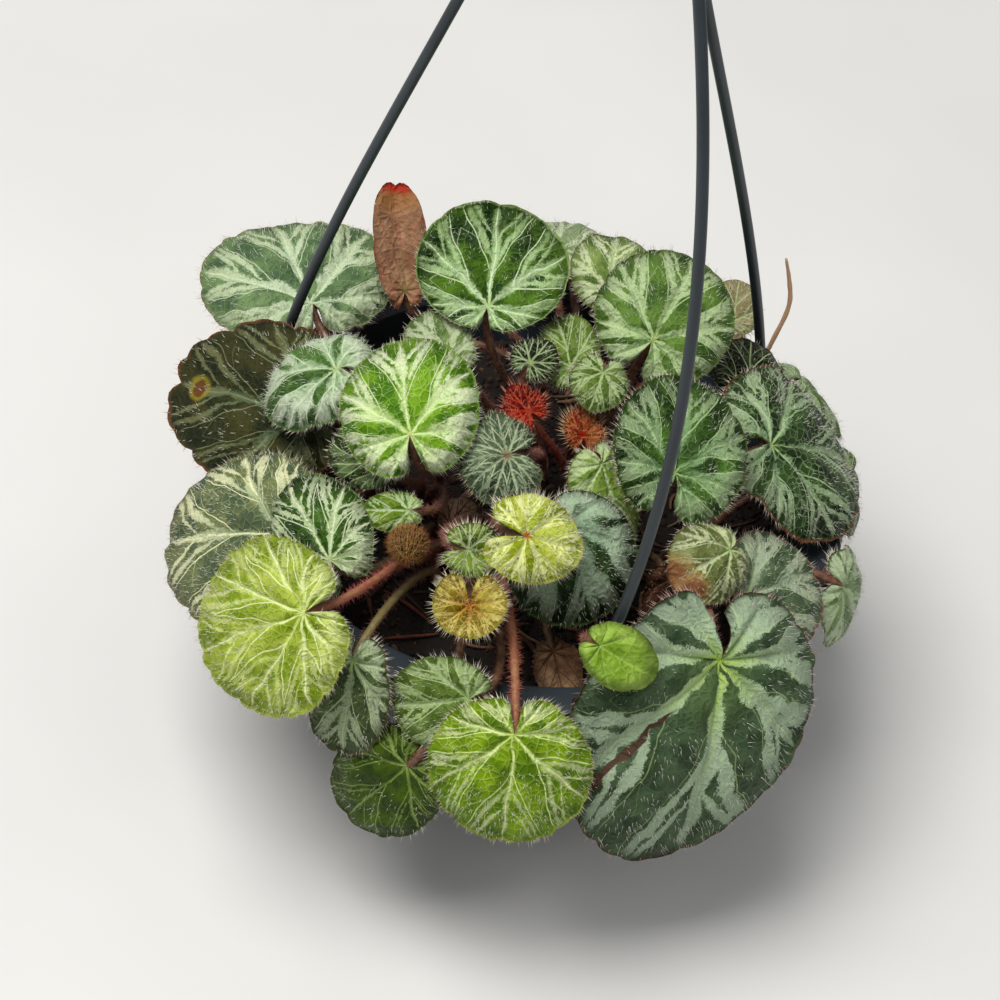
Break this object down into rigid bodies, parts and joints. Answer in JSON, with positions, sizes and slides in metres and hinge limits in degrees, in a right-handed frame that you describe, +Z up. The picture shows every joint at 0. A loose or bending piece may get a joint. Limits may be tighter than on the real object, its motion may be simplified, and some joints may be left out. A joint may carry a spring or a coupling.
{
  "type": "potted hanging begonia plant",
  "caption": "Strawberry begonia with round, silver-veined, hairy leaves, growing in a tapered hanging pot with slim bowed arms, a hub and a hook.",
  "frame": {"origin": "centre of the pot's flat underside", "axes": "+Z up through the pot's axis to the hook; -Y is the side that the fullest leaves face; +X is to the right as seen from -Y"},
  "size_m": [0.1935, 0.2101, 0.3863],
  "materials": {
    "hanger_plastic": "satin",
    "compost": "matte",
    "leaf_dark": "satin",
    "leaf_grey": "satin",
    "leaf_olive": "satin",
    "leaf_green": "satin",
    "leaf_lime": "satin",
    "leaf_young": "matte",
    "leaf_red": "matte",
    "leaf_dead": "matte",
    "leaf_bud": "matte",
    "straw": "matte"
  },
  "bodies": {
    "root": {"pot": "hanger_plastic", "soil": "compost", "hanger_arm_left": "hanger_plastic", "hanger_arm_front": "hanger_plastic", "hanger_arm_right": "hanger_plastic", "hanger_hook": "hanger_plastic", "leaf_front_big": "leaf_dark", "leaf_front_lime": "leaf_lime", "leaf_front_fold": "leaf_green", "leaf_low_hanging": "leaf_green", "leaf_low_silver": "leaf_dark", "leaf_left_lime": "leaf_lime", "leaf_left_stripe": "leaf_green", "leaf_left_grey": "leaf_grey", "leaf_left_olive": "leaf_olive", "leaf_back_left": "leaf_grey", "leaf_right_big": "leaf_dark", "leaf_right_back": "leaf_dark", "leaf_right_low": "leaf_green", "leaf_right_edge": "leaf_green", "leaf_top_cup": "leaf_green", "leaf_top_right": "leaf_green", "leaf_middle_bright": "leaf_green", "leaf_middle_under": "leaf_green", "leaf_left_convex": "leaf_green", "leaf_fold_right": "leaf_green", "leaf_silver_dome": "leaf_dark", "leaf_striped_fold": "leaf_green", "leaf_small_dark": "leaf_dark", "leaf_right_convex": "leaf_young", "leaf_back_bright": "leaf_green", "leaf_back_edge": "leaf_grey", "leaf_back_fold": "leaf_red", "leaf_back_olive": "leaf_olive", "leaf_right_shade": "leaf_olive", "leaf_rear_middle": "leaf_dark", "leaf_rear_left": "leaf_grey", "leaf_rear_right": "leaf_dark", "leaf_rear_side": "leaf_green", "young_yellow": "leaf_young", "young_cup": "leaf_young", "young_curl": "leaf_young", "young_glossy": "leaf_green", "young_speckled": "leaf_young", "young_dark": "leaf_dark", "young_pointed": "leaf_green", "young_low": "leaf_green", "young_green_curl": "leaf_lime", "young_red": "leaf_red", "young_red_right": "leaf_red", "dead_right": "leaf_dead", "dead_middle": "leaf_dead", "dead_front": "leaf_dead", "young_bud": "leaf_bud", "dry_runner": "straw"}
  },
  "joints": []
}
